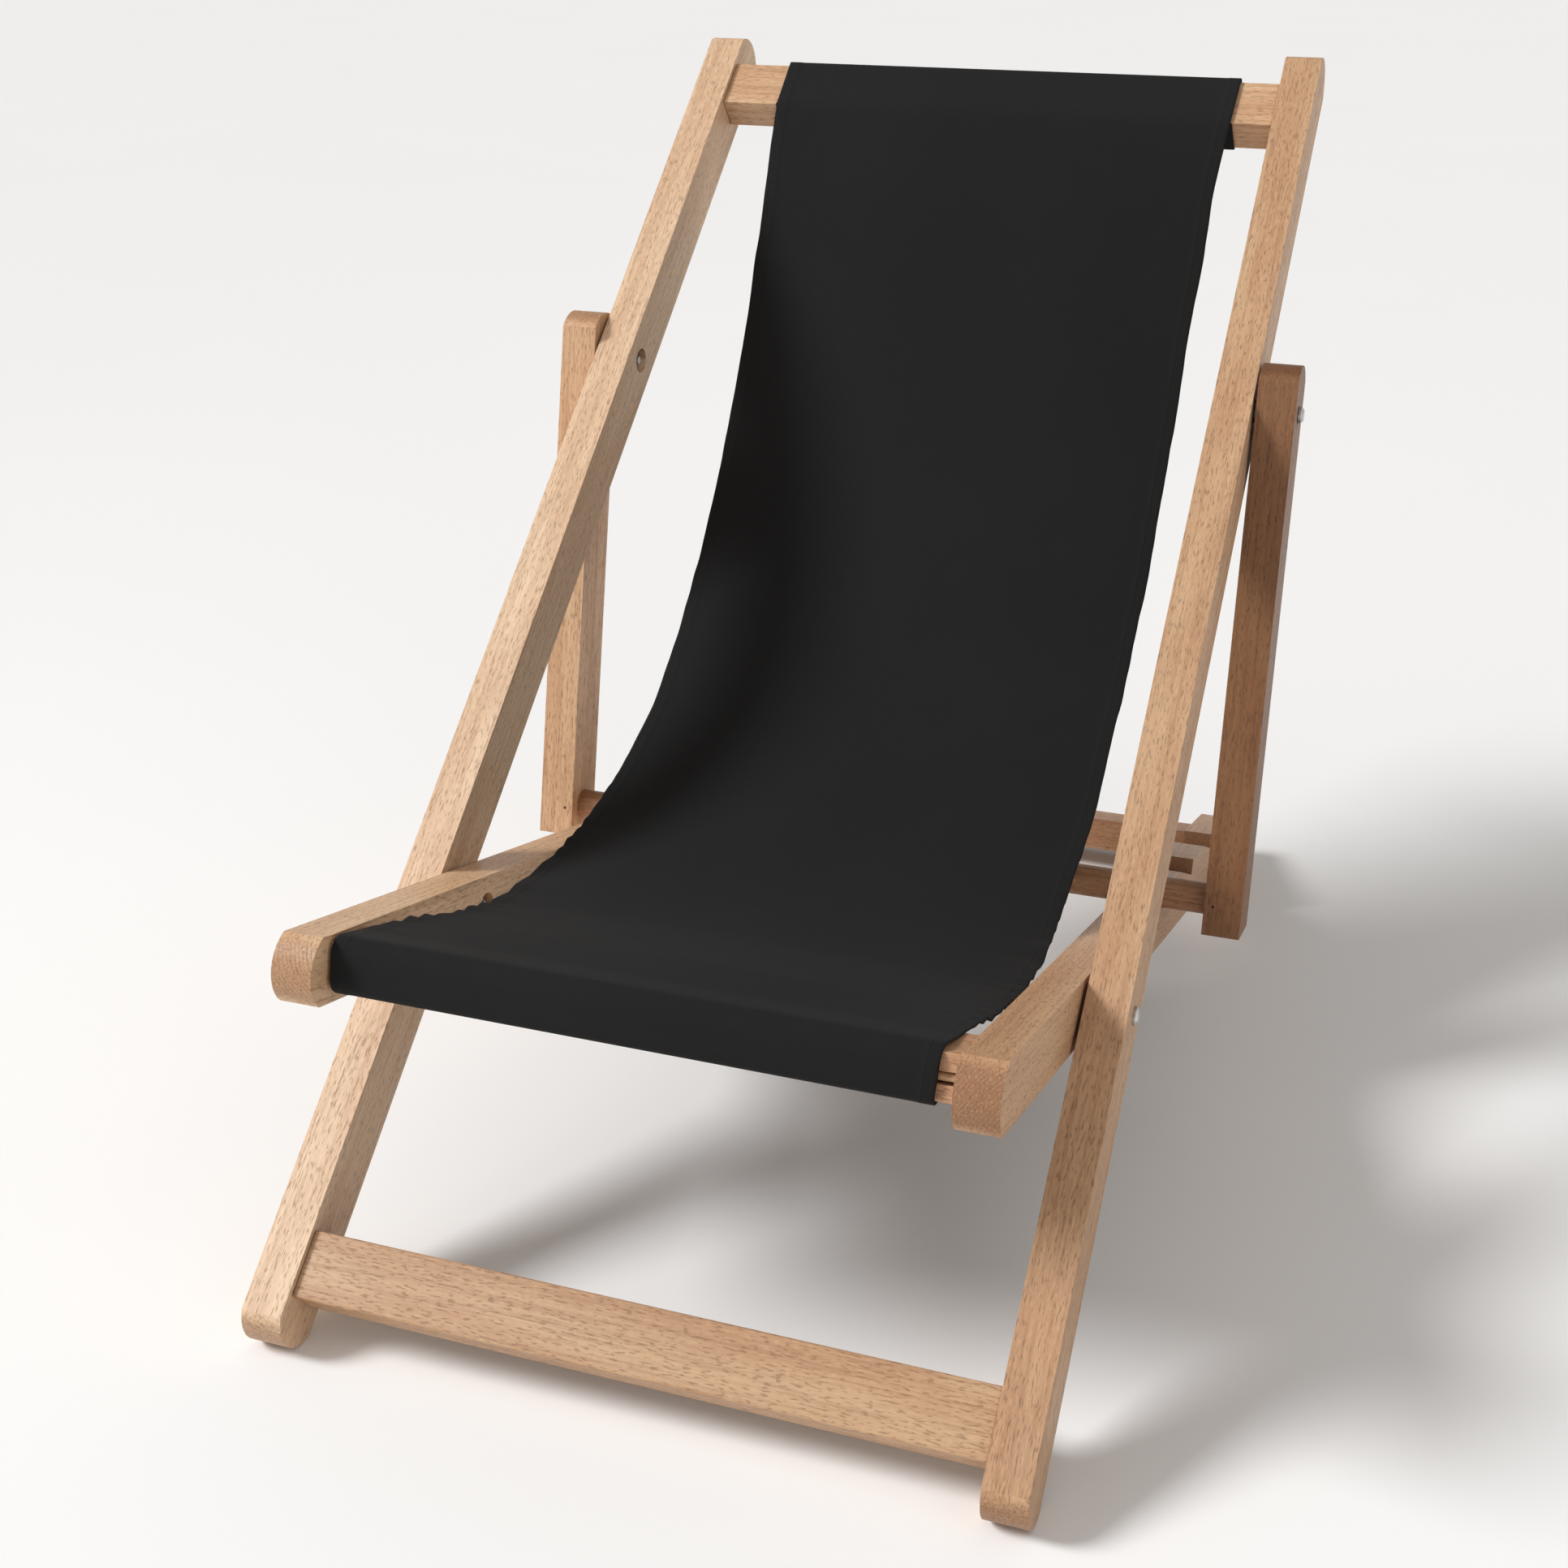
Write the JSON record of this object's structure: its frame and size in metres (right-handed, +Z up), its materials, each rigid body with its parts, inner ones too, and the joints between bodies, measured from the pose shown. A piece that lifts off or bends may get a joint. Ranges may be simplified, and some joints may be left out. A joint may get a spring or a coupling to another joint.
{
  "type": "folding deck chair",
  "caption": "Folding wooden deck chair with a hanging black cloth sling; the seat frame hinges on the back frame and a prop bar sets in notched rails.",
  "frame": {"origin": "on the floor under the middle of the chair's bounding box", "axes": "+Z up, +Y towards the back of the chair, +X to the sitter's left seen from the front as right"},
  "size_m": [0.6078, 0.9376, 0.7565],
  "materials": {
    "beech": "lightly oiled, fine sanded",
    "round_bar_wood": "smooth turned",
    "hem_rod_wood": "smooth",
    "canvas": "matt plain weave",
    "steel": "zinc plated"
  },
  "bodies": {
    "long_frame": {"long_rail_left": "beech", "long_rail_right": "beech", "top_bar": "beech", "foot_bar": "beech", "top_hem_rod": "hem_rod_wood", "sling_back": "canvas", "seat_pivot_bolts": "steel", "seat_pivot_nuts": "steel", "seat_pivot_washers": "steel", "prop_pivot_bolts": "steel", "prop_pivot_nuts": "steel", "prop_pivot_washers": "steel"},
    "seat_frame": {"seat_rail_left": "beech", "seat_rail_right": "beech", "front_seat_bar": "beech", "rear_seat_bar": "beech", "front_hem_rod": "hem_rod_wood", "sling_seat": "canvas"},
    "prop_frame": {"prop_rail_left": "beech", "prop_rail_right": "beech", "prop_round_bar": "round_bar_wood", "round_bar_nails": "steel"}
  },
  "joints": [
    {"name": "seat_fold", "type": "hinge", "parent": "long_frame", "child": "seat_frame", "pos_m": [0, -0.20788, 0.2161], "axis": [-1, 0, 0], "range_deg": [0, 110]},
    {"name": "prop_swing", "type": "hinge", "parent": "long_frame", "child": "prop_frame", "pos_m": [0, 0.17456, 0.52545], "axis": [-1, 0, 0], "range_deg": [0, 22]}
  ],
  "couplings": [
    {"joint": "prop_swing", "follows": "seat_fold", "ratio": 0.2}
  ]
}
